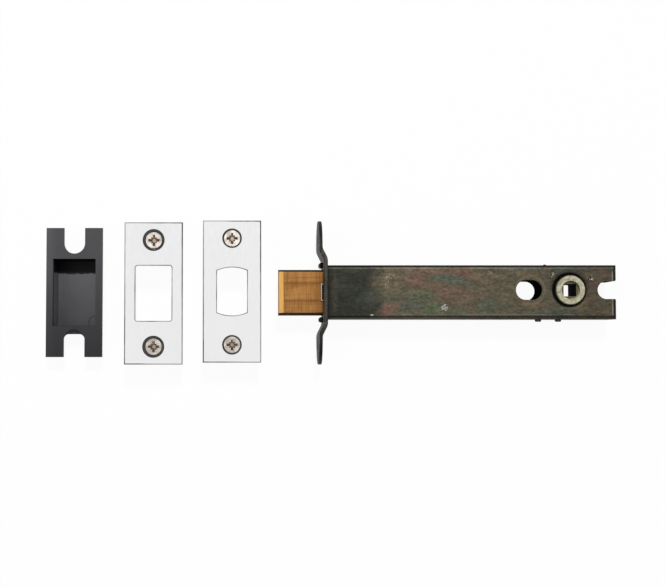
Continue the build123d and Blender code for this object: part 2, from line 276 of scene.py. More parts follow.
def bump(tree, shader, height, strength, distance):
    node = addNode(tree, "ShaderNodeBump", {"Strength": strength, "Distance": distance})
    feed(tree, height, node.inputs["Height"])
    tree.links.new(node.outputs["Normal"], shader.inputs["Normal"])


# Bronzed steel of the case: heat colours in patches along it, darkest by the forend; painted shade and
# painted highlights on its folds, round the follower, in its dimples, on its tabs and inside it.
# A pattern is written as its stretch, scale, detail, roughness and distortion, and its levels follow it.
# A fade is written as its start and end, and where it isn't from 0 to 1, its two values follow them

caseFinish = {
    "brown": (0.072, 0.058, 0.038),
    "olive": (0.058, 0.056, 0.036),
    # the dark tint by the forend, and painted shade in the dimples
    "dark": (0.010, 0.012, 0.009),
    "rose": (0.106, 0.058, 0.043),
    "moss": (0.053, 0.072, 0.037),
    "slate": (0.048, 0.057, 0.046),
    "tan": (0.090, 0.062, 0.034),
    # painted shade: on the folds, round the follower, inside the case and on its tabs
    "black": (0.0030, 0.0026, 0.0020),
    # pale scratches, a nick and the tab's rim, and painted glints in the dimples and beside the end fold
    "fleck": (0.36, 0.32, 0.25),
    # painted sheen: the highlight lines beside the folds and the reflection on the lower fold
    "edgeLine": (0.092, 0.090, 0.072),
    # painted highlight rings round the slot and below the follower
    "halo": (0.128, 0.104, 0.064),

    "clouds": ((0.55, 1, 1), 95.0, 3.0, 0.55, 0.4),
    "cloudStops": [(0.32, "olive"), (0.55, "brown"), (0.72, "olive")],
    "patches": [        # colour, centre and reach in millimetres, turn in degrees, strength
        ("rose", (-77.0, -8.0), (4.6, 2.2), 26, 0.75),
        ("rose", (-66.5, 3.6), (6.0, 2.6), -6, 0.60),
        ("rose", (-58.0, 7.4), (9.0, 1.6), -4, 0.65),
        ("rose", (-44.5, 7.0), (6.5, 1.9), -8, 0.65),
        ("rose", (-51.5, -0.8), (8.5, 3.4), -22, 0.55),
        ("slate", (-51.5, 4.6), (8.0, 2.0), -10, 0.80),
        ("moss", (-51.0, 4.4), (6.0, 1.5), -10, 0.30),
        ("moss", (-62.0, -2.5), (5.5, 2.6), 10, 0.40),
        ("slate", (-67.5, -6.6), (4.2, 3.6), 20, 0.60),
        ("moss", (-59.5, -8.0), (5.0, 2.4), 8, 0.70),
        ("moss", (-49.0, -9.4), (6.0, 1.5), 0, 0.45),
        ("moss", (-34.5, -6.8), (5.0, 2.8), 10, 0.45),
        ("slate", (-35.0, -6.0), (4.6, 2.4), 10, 0.45),
        ("olive", (-73.0, 0.5), (6.0, 5.0), 0, 0.50),
        ("tan", (-75.5, 3.0), (4.0, 4.0), 0, 0.35),
        ("tan", (-17.0, 6.6), (7.0, 1.3), 0, 0.60),
        ("tan", (-16.0, -6.4), (8.0, 1.5), -6, 0.65),
        ("slate", (-20.0, 8.8), (9.0, 1.4), 0, 0.40),
        ("slate", (-1.0, 8.6), (7.0, 2.2), 0, 0.70),
        ("slate", (-6.0, -8.9), (12.0, 1.9), 0, 0.65),
        ("rose", (14.5, 7.4), (3.2, 1.5), -35, 0.50),
        ("tan", (7.0, -5.5), (4.0, 1.6), 42, 0.70),
        ("rose", (9.5, 1.5), (2.0, 3.6), 0, 0.35),
        ("tan", (14.0, -8.6), (3.4, 1.0), 20, 0.40),
    ],
    "darkEnd": (-77.0 * mm, -86.5 * mm),                # where it starts and where it is full
    "darkEdge": (20 * mm, even, 110.0, 4.0, 0.65),      # how its border wanders
    "darkShare": 0.92,
    "endPatches": [     # faint tints on the dark end
        ("moss", (-94.5, 8.8), (7.5, 1.5), 0, 0.16),
        ("brown", (-99.6, -0.5), (1.3, 9.0), 0, 0.18),
        ("slate", (-85.5, -4.5), (4.5, 4.0), 30, 0.25),
        ("olive", (-95.0, 2.0), (5.0, 3.5), 0, 0.12),
    ],
    "spots": [          # small tints all over, but for the dark end: colour, pattern and levels
        ("rose", ((0.6, 1, 1), 640.0, 3.0, 0.6), (0.50, 0.66, 0.0, 0.22)),
        ("moss", ((0.5, 1, 1), 520.0, 3.0, 0.6), (0.50, 0.66, 0.0, 0.22)),
    ],
    "dullEnd": (-22.0 * mm, 4.0 * mm, 0.94, 0.80),      # duller from here to the rear end
    "speckles": [(0.72, 1.28, 420.0, (0.4, 1, 1)), (0.64, 1.36, 1100.0, (0.6, 1, 1))],

    "slotHalo": (-16.9 * mm, 6.0 * mm, 0.9 * mm),       # centre, radius and width of the slot's painted highlight ring
    "haloShare": 0.50,
    "broken": ((even, 330.0, 3.0), (0.38, 0.60, 0.2, 1.0)),
    "flecks": [         # light scratches: centre and reach in millimetres
        ((-75.2, 5.9), (3.6, 1.2)),
        ((-77.6, 3.2), (1.3, 2.6)),
        ((-34.0, 7.3), (1.2, 0.8)),
    ],
    "scratches": (((3.0, 0.8, 1), 1300.0, 3.0, 0.7), (0.52, 0.64, 0.0, 0.55)),
    # painted shade in each dimple's hollow, with painted glints in it
    "dimples": [((-7.5, 6.8), (1.25, 1.25)), ((8.9, 4.9), (1.25, 1.25))],
    "dimpleEdge": {"ragged": 0.3, "border": 0.2, "grain": 1500.0},
    "dimpleShare": 0.6,
    "glints": ((even, 1900.0, 1.0), (0.52, 0.58, 0.0, 0.75)),
    "chip": ((-83.9, -10.6), (0.75, 0.30)),             # a bright nick beside the lower fold
    "chipShare": 0.9,

    "topLine": (10.00 * mm, 10.35 * mm, 0.15 * mm),     # painted highlight lines beside the folds: their two sides and soft border
    "lowLine": (-9.65 * mm, -9.40 * mm, 0.12 * mm),
    "lowLineAlong": (-85 * mm, -25 * mm, 0.15, 2.0),    # stronger towards the rear end
    "endLine": (17.75 * mm, 18.05 * mm, 0.15 * mm),
    "endLineGain": 2.2,
    "endGlint": 0.30,
    "lineShare": 0.75,
    "lostInDark": 0.80,                                 # how much of the lines the dark end hides
    "wearAlong": (((0.3, 1, 1), 380.0, 3.0), (0.35, 0.6)),
    # painted shade on the folds
    "topFold": (10.5 * mm, 10.7 * mm),
    "lowBand": (-10.50 * mm, -9.95 * mm, 0.12 * mm),    # painted shade band above the lower fold
    "lowBandShare": 0.72,
    "lowFold": (-10.6 * mm, -10.8 * mm),
    "lowFoldAlong": (-60 * mm, -30 * mm),               # its painted reflection turns from grey to dark shade along here
    "greyFold": 0.60,
    "darkFold": 0.55,
    "endFold": (18.2 * mm, 18.4 * mm),
    "byForend": (-101.4 * mm, -102.0 * mm, 0.0, 0.8),   # painted contact shade along the forend
    "foldShade": 0.78,

    "ringShift": (-0.40 * mm, 0.10 * mm),               # the rings' middle, from the follower's
    # painted shadow ring round the follower
    "blackRing": (7.85 * mm, 7.00 * mm),
    "rubbedRing": (8.10 * mm, 8.40 * mm, 0.30 * mm),    # painted highlight, only below the follower
    "rubbedBelow": (-1 * mm, -5 * mm),
    "rubbedShare": 0.60,
    "smokyRing": (9.6 * mm, 7.4 * mm),                  # painted shade, only above the follower
    "smokyAbove": (-3 * mm, 3 * mm),
    "smokyShare": 0.55,
    "insideHeight": (6.72 * mm, 0.06 * mm),             # within these three only inside and cut edges lie, painted black as shade
    "insideHalf": 10.3 * mm,
    "insideEnd": 18.2 * mm,
    "tabFront": (-104.35 * mm, -104.40 * mm),           # ahead of this only the case's tabs lie, painted black as shade
    "tabHalf": 3.75 * mm,
    "tabSides": (3.27 * mm, 3.32 * mm),                 # the front tab's pale rim
    "tabTip": (-105.02 * mm, -105.07 * mm),
    "tabWear": 0.8,

    "grain": ((0.25, 1, 1), 1500.0, 3.0),
    "relief": (0.25, 0.03 * mm),
    "metallic": 0.6,
    "roughness": (0.40, 0.54),
    "specular": 0.2,
}


def paintPatches(tree, base, patches):
    for colour, centre, reach, turn, strength in patches:
        mask = softPatch(tree, inMm(centre), inMm(reach), math.radians(turn))
        base = mixed(tree, times(tree, mask, strength), base, caseFinish[colour])
    return base


def caseColours(tree, place):
    cfg = caseFinish
    stops = [(where, cfg[colour]) for where, colour in cfg["cloudStops"]]
    base = ramp(tree, pattern(tree, *cfg["clouds"]), stops)
    base = paintPatches(tree, base, cfg["patches"])
    darkEnd = fade(tree, maths(tree, "ADD", place["X"], waver(tree, *cfg["darkEdge"])), *cfg["darkEnd"])
    base = mixed(tree, times(tree, darkEnd, cfg["darkShare"]), base, cfg["dark"])
    base = paintPatches(tree, base, cfg["endPatches"])
    for colour, settings, levels in cfg["spots"]:
        mask = times(tree, uneven(tree, settings, levels), inverse(tree, darkEnd))
        base = mixed(tree, mask, base, cfg[colour])
    base = tinted(tree, base, fade(tree, place["X"], *cfg["dullEnd"]))
    for grain in cfg["speckles"]:
        base = speckled(tree, base, *grain)
    return base, darkEnd


def caseMarks(tree, base):
    # The slot's painted highlight ring, scratches, painted shade and glints in the dimples, and a nick
    cfg = caseFinish
    # Painted highlight ring round the slot
    slot, radius, width = cfg["slotHalo"]
    halo = fade(tree, apart(tree, fromSpindle(tree, slot), radius), width, 0.0, 0.0, cfg["haloShare"])
    base = mixed(tree, times(tree, halo, uneven(tree, *cfg["broken"])), base, cfg["halo"])
    for centre, reach in cfg["flecks"]:
        patch = softPatch(tree, inMm(centre), inMm(reach))
        base = mixed(tree, times(tree, patch, uneven(tree, *cfg["scratches"])), base, cfg["fleck"])
    # Painted shade and painted glints in each dimple
    for centre, reach in cfg["dimples"]:
        hollow = softPatch(tree, inMm(centre), inMm(reach), **cfg["dimpleEdge"])
        base = mixed(tree, times(tree, hollow, cfg["dimpleShare"]), base, cfg["dark"])
        base = mixed(tree, times(tree, hollow, uneven(tree, *cfg["glints"])), base, cfg["fleck"])
    centre, reach = cfg["chip"]
    chip = softPatch(tree, inMm(centre), inMm(reach))
    return mixed(tree, times(tree, chip, cfg["chipShare"]), base, cfg["fleck"])


def caseFolds(tree, base, place, level, darkEnd):
    # Painted shade on the folds and along the forend, painted highlight lines beside the folds and a painted
    # reflection on the lower fold
    cfg = caseFinish
    wear = uneven(tree, *cfg["wearAlong"])
    topLine = between(tree, level, *cfg["topLine"])
    lowLine = times(tree, between(tree, level, *cfg["lowLine"]), fade(tree, place["X"], *cfg["lowLineAlong"]))
    endLine = between(tree, place["X"], *cfg["endLine"])
    lines = larger(tree, topLine, lowLine, times(tree, endLine, cfg["endLineGain"]))
    lines = times(tree, lines, inverse(tree, times(tree, darkEnd, cfg["lostInDark"])))
    worn = maths(tree, "MINIMUM", times(tree, lines, wear, cfg["lineShare"]), 1.0)
    base = mixed(tree, worn, base, cfg["edgeLine"])
    base = mixed(tree, times(tree, endLine, wear, cfg["endGlint"]), base, cfg["fleck"])

    lowFold = fade(tree, level, *cfg["lowFold"])
    toDark = fade(tree, place["X"], *cfg["lowFoldAlong"])
    base = mixed(tree, times(tree, lowFold, inverse(tree, toDark), cfg["greyFold"]), base, cfg["edgeLine"])
    shade = larger(tree, fade(tree, level, *cfg["topFold"]),
                   times(tree, between(tree, level, *cfg["lowBand"]), cfg["lowBandShare"]),
                   times(tree, lowFold, toDark, cfg["darkFold"]),
                   fade(tree, place["X"], *cfg["byForend"]),
                   fade(tree, place["X"], *cfg["endFold"]))
    return mixed(tree, times(tree, shade, cfg["foldShade"]), base, cfg["black"])


def caseBlacks(tree, base, place, fromMiddle):
    # Painted shade: black round the follower and above it, inside and on the cut edges, with a painted
    # highlight below the follower. The second result is 1 where there is no gloss
    cfg = caseFinish
    fromRing = fromSpindle(tree, *cfg["ringShift"])
    rubbed = times(tree, between(tree, fromRing, *cfg["rubbedRing"]),
                   fade(tree, place["Y"], *cfg["rubbedBelow"]), uneven(tree, *cfg["broken"]))
    base = mixed(tree, times(tree, rubbed, cfg["rubbedShare"]), base, cfg["halo"])
    smoky = times(tree, fade(tree, fromRing, *cfg["smokyRing"]), fade(tree, place["Y"], *cfg["smokyAbove"]))
    base = mixed(tree, times(tree, smoky, cfg["smokyShare"]), base, cfg["black"])
    ring = fade(tree, fromRing, *cfg["blackRing"])
    base = mixed(tree, ring, base, cfg["black"])
    inside = times(tree, below(tree, absolute(tree, place["Z"]), *cfg["insideHeight"]),
                   below(tree, fromMiddle, cfg["insideHalf"]), below(tree, place["X"], cfg["insideEnd"]))
    base = mixed(tree, inside, base, cfg["black"])
    return base, larger(tree, inside, ring)


def caseTabs(tree, base, place, fromMiddle):
    # The tabs that come through the forend: painted black as shade, the front one with a pale rim
    cfg = caseFinish
    tabs = fade(tree, place["X"], *cfg["tabFront"])
    base = mixed(tree, tabs, base, cfg["black"])
    front = times(tree, tabs, below(tree, fromMiddle, cfg["tabHalf"]))
    rim = larger(tree, fade(tree, fromMiddle, *cfg["tabSides"]), fade(tree, place["X"], *cfg["tabTip"]))
    return mixed(tree, times(tree, front, rim, cfg["tabWear"]), base, cfg["fleck"])


def bronzedSteel():
    cfg = caseFinish
    material, tree, shader = newMaterial("bronzed steel")
    place = axes(tree, own(tree))
    level = maths(tree, "SUBTRACT", place["Y"], caseMiddle)
    fromMiddle = absolute(tree, level)
    base, darkEnd = caseColours(tree, place)
    base = caseMarks(tree, base)
    base = caseFolds(tree, base, place, level, darkEnd)
    base, dull = caseBlacks(tree, base, place, fromMiddle)
    base = caseTabs(tree, base, place, fromMiddle)
    grain = pattern(tree, *cfg["grain"])
    roughness = larger(tree, gloss(tree, grain, *cfg["roughness"]), dull)
    dress(tree, shader, base, roughness, cfg["metallic"], cfg["specular"])
    bump(tree, shader, grain, *cfg["relief"])
    return material


# Dark pressed steel of the inner forend, with a fine grain, rubbed patches, a painted highlight along each
# ear's front edge and painted shade behind it

forendFinish = {
    "low": (0.020, 0.019, 0.015),
    "high": (0.052, 0.048, 0.036),
    "rubbed": (0.080, 0.075, 0.066),
    # painted highlight on the ears' front edges
    "rim": (0.150, 0.148, 0.145),
    # painted shade behind it
    "heart": (0.010, 0.010, 0.010),
    "clouds": (even, 260.0, 4.0, 0.6),
    "wear": (((1, 0.3, 1), 420.0, 4.0, 0.7), (0.56, 0.70, 0.0, 0.7)),
    "ear": (15.5 * mm, 18.0 * mm),                          # each ear starts here, from the case's middle
    "heartPlace": (-106.05 * mm, -105.25 * mm, 0.25 * mm),  # its cut edge has painted shade between these
    "heartShare": 0.75,
    "rimPlace": (-106.15 * mm, -106.35 * mm),               # and a painted highlight from here to its front
    "rimShare": 0.7,
    "cutEdge": (0.9, 0.7),                                  # how squarely the edge's faces look along X
    "speckle": (0.75, 1.25, 1700.0),
    "grain": ((1, 0.3, 1), 1500.0, 3.0),
    "relief": (0.3, 0.03 * mm),
    "metallic": 0.7,
    "roughness": 0.60,
    "specular": 0.2,
}


def forendSteel():
    cfg = forendFinish
    material, tree, shader = newMaterial("forend steel")
    base = shades(tree, pattern(tree, *cfg["clouds"]), cfg["low"], cfg["high"])
    base = mixed(tree, uneven(tree, *cfg["wear"]), base, cfg["rubbed"])
    place = axes(tree, own(tree))
    ear = fade(tree, apart(tree, place["Y"], caseMiddle), *cfg["ear"])
    # Painted shade behind each ear's front edge, and a painted highlight along it
    heart = times(tree, ear, between(tree, place["X"], *cfg["heartPlace"]), cfg["heartShare"])
    base = mixed(tree, heart, base, cfg["heart"])
    cutEdge = fade(tree, absolute(tree, facing(tree)["X"]), *cfg["cutEdge"])
    rim = times(tree, ear, fade(tree, place["X"], *cfg["rimPlace"]), cutEdge, cfg["rimShare"])
    base = mixed(tree, rim, base, cfg["rim"])
    base = speckled(tree, base, *cfg["speckle"])
    dress(tree, shader, base, cfg["roughness"], cfg["metallic"], cfg["specular"])
    bump(tree, shader, pattern(tree, *cfg["grain"]), *cfg["relief"])
    return material


# Brass of the bolt: faintly milled across, scored along it, with a painted highlight on the nose's bevels and
# painted shade on its narrow sides and by the forend

brassFinish = {
    "deep": (0.166, 0.074, 0.021),
    "warm": (0.210, 0.103, 0.032),
    # scoring, and painted shade by the forend
    "scored": (0.100, 0.040, 0.012),
    # painted shade on the narrow sides
    "edge": (0.025, 0.012, 0.006),
    # painted highlight on the nose's bevels
    "nose": (0.350, 0.200, 0.058),
    "patches": ((0.7, 1, 1), 210.0, 3.0, 0.6),
    "speckles": [(0.95, 1.05, 1500.0, (1, 0.06, 1)), (0.88, 1.12, 1300.0, (0.08, 1, 1))],
    "scoreLines": (6.3 * mm, 2.4 * mm, -5.1 * mm),          # faint lines along the bolt, from its middle
    "scoreWidth": (0.40 * mm, 0.05 * mm),
    "faint": (((0.5, 1, 1), 420.0, 2.0), (0.35, 0.60, 0.1, 0.45)),
    "groovePlace": 3.7 * mm,
    "grooveReach": (1.25 * mm, 0.2 * mm, 0.0, 0.62),
    "grooveWaver": (0.9 * mm, (0.3, 1, 1), 900.0, 2.0),
    "flatEdge": (8.5 * mm, 8.9 * mm),                       # the narrow sides' painted shade starts here
    "edgeShare": 0.9,
    "forendShade": (-111.5 * mm, -105.5 * mm, 0.0, 0.55),
    "bevel": (-0.15, -0.25),                                # the painted highlight covers nose faces that lean this far forward
    "noseEnd": (0.55 * mm, 0.10 * mm),                      # dark line along the nose's end
    "noseLine": (2.10 * mm, 2.35 * mm),                     # and where the bevel meets the flat
    "noseShare": 0.85,
    "cut": ((1, 0.06, 1), 1500.0, 3.0),
    "relief": (0.08, 0.03 * mm),
    "metallic": 1.0,
    "roughness": (0.30, 0.42),
    "sideRoughness": 0.90,
}


def drawnBrass():
    cfg = brassFinish
    material, tree, shader = newMaterial("drawn brass")
    place = axes(tree, own(tree))
    base = shades(tree, pattern(tree, *cfg["patches"]), cfg["deep"], cfg["warm"])
    for grain in cfg["speckles"]:
        base = speckled(tree, base, *grain)
    level = maths(tree, "SUBTRACT", place["Y"], caseMiddle)
    fromMiddle = absolute(tree, level)
    faint = uneven(tree, *cfg["faint"])
    for line in cfg["scoreLines"]:
        score = fade(tree, apart(tree, level, line), *cfg["scoreWidth"])
        base = mixed(tree, times(tree, faint, score), base, cfg["scored"])
    wandering = maths(tree, "ADD", fromMiddle, waver(tree, *cfg["grooveWaver"]))
    groove = fade(tree, apart(tree, wandering, cfg["groovePlace"]), *cfg["grooveReach"])
    base = mixed(tree, groove, base, cfg["scored"])
    # Painted shade on the narrow sides and by the forend
    side = fade(tree, fromMiddle, *cfg["flatEdge"])
    base = mixed(tree, times(tree, side, cfg["edgeShare"]), base, cfg["edge"])
    base = mixed(tree, fade(tree, place["X"], *cfg["forendShade"]), base, cfg["scored"])
    nose = fade(tree, facing(tree)["X"], *cfg["bevel"])
    base = mixed(tree, nose, base, cfg["nose"])
    fromTip = maths(tree, "SUBTRACT", place["X"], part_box("bolt_head")[0].x)
    rims = larger(tree, fade(tree, fromTip, *cfg["noseEnd"]), fade(tree, fromTip, *cfg["noseLine"]))
    base = mixed(tree, times(tree, nose, rims, cfg["noseShare"]), base, cfg["scored"])
    cut = pattern(tree, *cfg["cut"])
    roughness = larger(tree, gloss(tree, cut, *cfg["roughness"]), times(tree, side, cfg["sideRoughness"]))
    dress(tree, shader, base, roughness, cfg["metallic"])
    bump(tree, shader, cut, *cfg["relief"])
    return material


# Polished chrome of the two plates, with painted dark reflections in the countersinks and along the edges

chromeFinish = {
    "face": (0.890, 0.890, 0.900),
    "hazy": (0.86775, 0.86775, 0.8775),
    # painted dark reflection along the edges
    "edge": (0.05, 0.05, 0.053),
    # painted dark reflection in the countersinks
    "sink": (0.17, 0.17, 0.165),
    "rim": 0.42 * mm,                                       # width of the dulled line round each plate
    "openingRim": 0.30 * mm,
    "strikeOpening": (7.65 * mm, 11.65 * mm, 0.9 * mm),     # half width, half height and corner
    "boltOpening": (6.35 * mm, 15.95 * mm, 5.8 * mm),       # half width, and its arches' radius and centre
    "slant": (-0.6, 0.6, 0.5, 1.08),                        # the painted reflection is darkest at the upper right and lower left
    "dulled": ((even, 160.0, 2.0), (0.35, 0.65, 0.60, 0.92)),
    "steep": (0.99, 0.93),                                  # how level a face is before it counts as steep
    "sinkShare": 0.9,
    "haze": (even, 45.0, 2.0),
    "polish": ((1, 0.1, 1), 2200.0, 2.0),
    "relief": (0.04, 0.2 * mm),
    "metallic": 1.0,
    "roughness": (0.08, 0.13),
}


def plateOutline(tree):
    # 1 along the edges of both plates and of their openings, where the dark reflection is painted, each
    # measured from its plate's middle
    cfg = chromeFinish
    strikeLow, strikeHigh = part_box("strike_plate")
    forendLow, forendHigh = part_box("forend_plate")
    strikeCentre, forendCentre = (strikeLow + strikeHigh) / 2, (forendLow + forendHigh) / 2
    halfway = (strikeCentre.x + forendCentre.x) / 2
    place = axes(tree, own(tree))
    fromHalfway = maths(tree, "SUBTRACT", place["X"], halfway)
    onForend = maths(tree, "GREATER_THAN", fromHalfway, 0.0)
    fromPlate = maths(tree, "SUBTRACT", absolute(tree, fromHalfway), forendCentre.x - halfway)
    aside = absolute(tree, fromPlate)
    middle = maths(tree, "ADD", strikeCentre.y, times(tree, onForend, forendCentre.y - strikeCentre.y))
    upward = maths(tree, "SUBTRACT", place["Y"], middle)
    along = absolute(tree, upward)
    half = (forendHigh - forendLow) / 2
    rim = larger(tree, past(tree, aside, half.x - cfg["rim"]), past(tree, along, half.y - cfg["rim"]))
    toRight = times(tree, fromPlate, maths(tree, "SUBTRACT", times(tree, onForend, 2.0), 1.0))
    slant = times(tree, toRight, upward, 1 / (half.x * half.y))
    rim = times(tree, rim, fade(tree, slant, *cfg["slant"]))

    def inside(value, reach):
        return below(tree, value, reach + cfg["openingRim"])

    def beyond(value, reach):
        return larger(tree, maths(tree, "SUBTRACT", value, reach), 0.0)

    def diagonal(first, second):
        joined = addNode(tree, "ShaderNodeCombineXYZ")
        feed(tree, first, joined.inputs["X"])
        feed(tree, second, joined.inputs["Y"])
        return length(tree, joined.outputs[0])

    halfWidth, halfHeight, corner = cfg["strikeOpening"]
    fromCorner = diagonal(beyond(aside, halfWidth - corner), beyond(along, halfHeight - corner))
    square = times(tree, inside(fromCorner, corner), inverse(tree, onForend))
    halfWidth, arch, archCentre = cfg["boltOpening"]
    fromArch = diagonal(aside, maths(tree, "ADD", along, archCentre))
    arched = times(tree, inside(aside, halfWidth), inside(fromArch, arch), onForend)
    return larger(tree, rim, square, arched)


def polishedChrome():
    cfg = chromeFinish
    material, tree, shader = newMaterial("polished chrome")
    haze = pattern(tree, *cfg["haze"])
    base = shades(tree, haze, cfg["hazy"], cfg["face"], 0.3, 0.7)
    # Painted dark reflections along the edges and in the countersinks
    base = mixed(tree, times(tree, plateOutline(tree), uneven(tree, *cfg["dulled"])), base, cfg["edge"])
    steep = fade(tree, absolute(tree, facing(tree)["Z"]), *cfg["steep"])
    base = mixed(tree, times(tree, steep, cfg["sinkShare"]), base, cfg["sink"])
    roughness = gloss(tree, pattern(tree, *cfg["polish"]), *cfg["roughness"])
    dress(tree, shader, base, roughness, cfg["metallic"])
    bump(tree, shader, haze, *cfg["relief"])
    return material


# Yellow passivated zinc of the follower, with painted shade: black in its square socket, darker in its round
# recess

followerFinish = {
    "low": (0.170, 0.160, 0.100),
    "high": (0.380, 0.362, 0.258),
    # painted shade in the square socket
    "socket": (0.003, 0.003, 0.002),
    # painted shade in the round recess
    "recess": (0.150, 0.130, 0.085),
    "patches": (even, 620.0, 4.0, 0.65),
    "patchStops": (0.34, 0.62),
    "recessTop": (7.95 * mm, 7.65 * mm),        # heights are from the middle of the case's thickness
    "recessReach": 3.76 * mm,
    "socketTop": 6.45 * mm,
    "socketReach": 3.72 * mm,
    "relief": (0.35, 0.05 * mm),
    "metallic": 0.8,
    "roughness": (0.52, 0.37),
    "specular": 0.2,
}


def passivatedZinc():
    cfg = followerFinish
    material, tree, shader = newMaterial("passivated zinc")
    patches = pattern(tree, *cfg["patches"])
    base = shades(tree, patches, cfg["low"], cfg["high"], *cfg["patchStops"])
    height = absolute(tree, axes(tree, own(tree))["Z"])
    radius = fromSpindle(tree)
    # Painted shade in the round recess and the square socket
    recess = times(tree, fade(tree, height, *cfg["recessTop"]), below(tree, radius, cfg["recessReach"]))
    base = mixed(tree, recess, base, cfg["recess"])
    socket = times(tree, below(tree, height, cfg["socketTop"]), below(tree, radius, cfg["socketReach"]))
    base = mixed(tree, socket, base, cfg["socket"])
    roughness = larger(tree, gloss(tree, patches, *cfg["roughness"]), socket)
    dress(tree, shader, base, roughness, cfg["metallic"], cfg["specular"])
    bump(tree, shader, patches, *cfg["relief"])
    return material


# Nickel plate of the screws, with a brown recess of painted shade

screwFinish = {
    "low": (0.320, 0.285, 0.252),
    "high": (0.435, 0.398, 0.360),
    # painted shade in the recess
    "recess": (0.240, 0.190, 0.155),
    # painted shade, a little paler at the recess's middle
    "heart": (0.240, 0.200, 0.170),
    "patches": (even, 500.0, 3.0),
    "recessReach": 2.4 * mm,
    "recessDepth": (2.1 * mm, 0.12 * mm),       # the recess lies between these depths under the head's top
    "recessSoft": 0.06 * mm,
    "heartReach": (1.0 * mm, 0.6 * mm),
    "relief": (0.12, 0.03 * mm),
    "metallic": 0.85,
    "roughness": (0.26, 0.38),
}


def nickelPlate():
    cfg = screwFinish
    material, tree, shader = newMaterial("nickel plate")
    patches = pattern(tree, *cfg["patches"])
    base = shades(tree, patches, cfg["low"], cfg["high"])
    height = axes(tree, own(tree))["Z"]
    deepest, highest = cfg["recessDepth"]
    for name in screwNodes:
        low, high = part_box(name)
        radius = fromSpindle(tree, (low.x + high.x) / 2, (low.y + high.y) / 2)
        # Painted shade in each screw's recess
        recess = times(tree, between(tree, height, high.z - deepest, high.z - highest, cfg["recessSoft"]),
                       below(tree, radius, cfg["recessReach"]))
        base = mixed(tree, recess, base, cfg["recess"])
        base = mixed(tree, times(tree, recess, fade(tree, radius, *cfg["heartReach"])), base, cfg["heart"])
    dress(tree, shader, base, gloss(tree, patches, *cfg["roughness"]), cfg["metallic"])
    bump(tree, shader, patches, *cfg["relief"])
    return material


# Moulded black plastic of the dust box, with painted light and shade in its pocket and painted shade towards
# its lower end

plasticFinish = {
    "low": (0.044, 0.044, 0.048),
    "high": (0.056, 0.055, 0.060),
    # painted shade
    "wall": (0.003, 0.003, 0.003),
    # painted light on the left wall
    "leftWall": (0.22, 0.22, 0.22),
    "flow": ((1, 0.35, 1), 110.0, 3.0),
    "lowerReach": 8 * mm,
    "lowerTones": (0.40, 1.28),             # painted shade: darker towards the box's lower end
    "leftReach": 5 * mm,
    "leftTones": (1.0, 1.3),                # and paler towards its left side
    "pocketHalf": (9.6 * mm, 14.9 * mm),
    "pocketDepth": (1.5 * mm, 2.5 * mm),    # the pocket's paint starts between these depths
    "facesDown": (-0.5, -0.9, 0.0, 0.92),   # the pocket's upper wall, painted black as shade, looks this far along Y
    "facesRight": (0.5, 0.9, 0.0, 0.65),    # and its left wall, painted paler as light, this far along X
    "paleBelow": (8.4 * mm, 7.5 * mm),      # a painted shadow: the floor is black above this border and pale below it
    "paleWaver": (2.2 * mm, even, 420.0, 3.0),
    "floorTones": (0.08, 1.8),
    "padPlace": (7.55 * mm, 12.85 * mm),    # low round pads in the pocket's corners, from its middle
    "padReach": 3.0 * mm,
    # painted shade along the pads' edges
    "padLine": (0.28 * mm, 0.12 * mm, 0.0, 0.65),
    "grain": (even, 2600.0, 2.0),
    "relief": (0.30, 0.03 * mm),
    "metallic": 0.0,
    "roughness": (0.50, 0.62),
    "specular": 0.12,
}


def pocketPaint(tree, base, place, low, high):
    # Painted light and shade in the pocket: black on its upper wall, a painted shadow over the floor below
    # it, a paler left wall and dark outlines round the pads
    cfg = plasticFinish
    centre = (low + high) / 2
    halfWidth, halfHeight = cfg["pocketHalf"]
    inPocket = times(tree, below(tree, apart(tree, place["X"], centre.x), halfWidth),
                     below(tree, apart(tree, place["Y"], centre.y), halfHeight))
    looks = facing(tree)
    base = mixed(tree, times(tree, inPocket, fade(tree, looks["Y"], *cfg["facesDown"])), base, cfg["wall"])
    start, full = cfg["pocketDepth"]
    deep = times(tree, inPocket, fade(tree, place["Z"], high.z - start, high.z - full))
    border = maths(tree, "ADD", place["Y"], waver(tree, *cfg["paleWaver"]))
    pale = fade(tree, border, *cfg["paleBelow"])
    shaded = tinted(tree, base, fade(tree, pale, 0.0, 1.0, *cfg["floorTones"]))
    base = mixed(tree, deep, base, shaded)
    leftWall = times(tree, deep, pale, fade(tree, looks["X"], *cfg["facesRight"]))
    base = mixed(tree, leftWall, base, cfg["leftWall"])
    for side in (-1, 1):
        fromPad = fromSpindle(tree, centre.x + cfg["padPlace"][0], centre.y + side * cfg["padPlace"][1])
        outline = fade(tree, apart(tree, fromPad, cfg["padReach"]), *cfg["padLine"])
        base = mixed(tree, times(tree, deep, outline), base, cfg["wall"])
    return base


def mouldedPlastic():
    cfg = plasticFinish
    material, tree, shader = newMaterial("moulded plastic")
    low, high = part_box("dust_box")
    place = axes(tree, own(tree))
    flow = pattern(tree, *cfg["flow"])
    base = shades(tree, flow, cfg["low"], cfg["high"])
    # Painted shade towards the box's lower end
    base = tinted(tree, base, fade(tree, place["Y"], low.y - cfg["lowerReach"], high.y, *cfg["lowerTones"]))
    base = tinted(tree, base, fade(tree, place["X"], low.x + cfg["leftReach"], low.x, *cfg["leftTones"]))
    base = pocketPaint(tree, base, place, low, high)
    dress(tree, shader, base, gloss(tree, flow, *cfg["roughness"]), cfg["metallic"], cfg["specular"])
    bump(tree, shader, pattern(tree, *cfg["grain"]), *cfg["relief"])
    return material


# The pillar's end, hammered over at a slant

